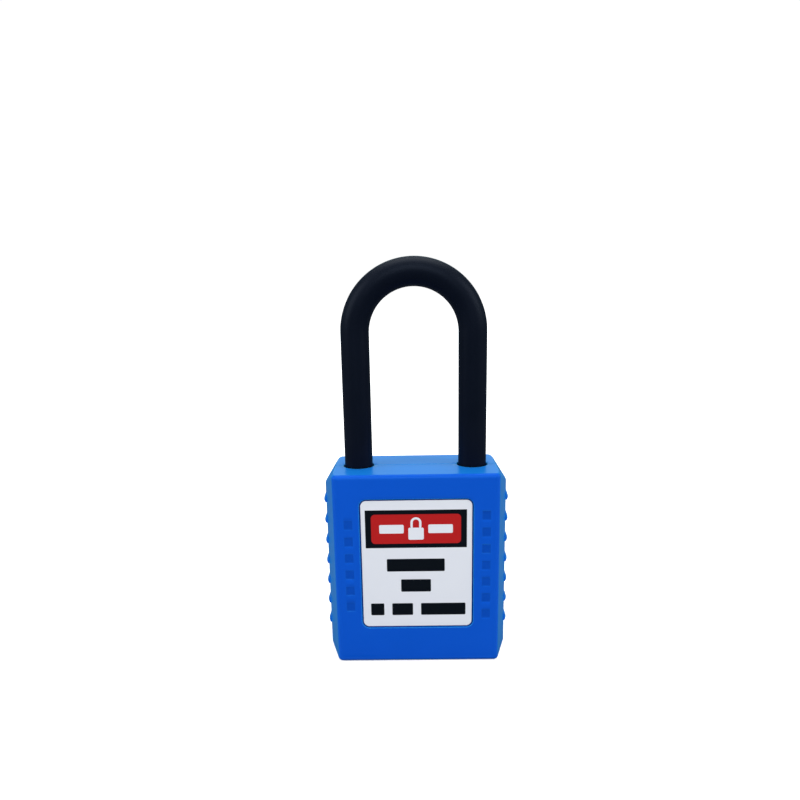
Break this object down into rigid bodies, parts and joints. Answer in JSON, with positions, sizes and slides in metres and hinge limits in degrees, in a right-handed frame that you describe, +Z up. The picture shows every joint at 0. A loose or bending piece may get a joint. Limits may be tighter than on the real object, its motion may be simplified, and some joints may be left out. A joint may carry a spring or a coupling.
{
  "type": "safety padlock",
  "caption": "Lockout padlock with a two-shell plastic body, ribbed sides, let-in labels, a nylon shackle that lifts, and a turning pin-tumbler plug that works a sliding latch.",
  "frame": {"origin": "middle of the body's bottom face", "axes": "+Z up along the shackle legs, +X to the right seen from the front, front face towards -Y"},
  "size_m": [0.0426, 0.0188, 0.0903],
  "materials": {
    "body_blue": "moulded blue ABS, satin gloss with a very fine grain",
    "nylon_black": "moulded black nylon, matt",
    "label_white": "white polyester label with printed red and black blocks",
    "brass": "turned brass",
    "zinc_alloy": "die-cast zinc alloy, satin",
    "steel": "bright steel",
    "spring_steel": "drawn spring wire"
  },
  "bodies": {
    "root": {"front_shell": "body_blue", "rear_shell": "body_blue", "front_label": "label_white", "rear_label": "label_white", "cylinder_housing": "zinc_alloy", "chamber_cover": "steel", "driver_pin_1": "steel", "driver_pin_2": "steel", "driver_pin_3": "steel", "driver_pin_4": "steel", "driver_pin_5": "steel", "driver_pin_6": "steel", "pin_spring_1": "spring_steel", "pin_spring_2": "spring_steel", "pin_spring_3": "spring_steel", "pin_spring_4": "spring_steel", "pin_spring_5": "spring_steel", "pin_spring_6": "spring_steel", "heel_pin": "steel", "shackle_spring": "spring_steel"},
    "plug_group": {"plug": "brass", "plug_clip": "spring_steel", "cam_driver": "zinc_alloy", "key_pin_1": "brass", "key_pin_2": "brass", "key_pin_3": "brass", "key_pin_4": "brass", "key_pin_5": "brass", "key_pin_6": "brass"},
    "latch_bolt": {"latch": "zinc_alloy"},
    "shackle_bar": {"shackle": "nylon_black"}
  },
  "joints": [
    {"name": "shackle_lift", "type": "slide", "parent": "root", "child": "shackle_bar", "axis": [0, 0, 1], "range_m": [0, 0.015], "deforming": ["shackle_spring"]},
    {"name": "plug_turn", "type": "hinge", "parent": "root", "child": "plug_group", "pos_m": [0, 0, 0.0005], "axis": [0, 0, 1], "range_deg": [-90, 0]},
    {"name": "latch_slide", "type": "slide", "parent": "root", "child": "latch_bolt", "axis": [1, 0, 0], "range_m": [0, 0.00301]}
  ],
  "couplings": [
    {"joint": "latch_slide", "follows": "plug_turn", "m_per_rad": -0.0019099}
  ]
}
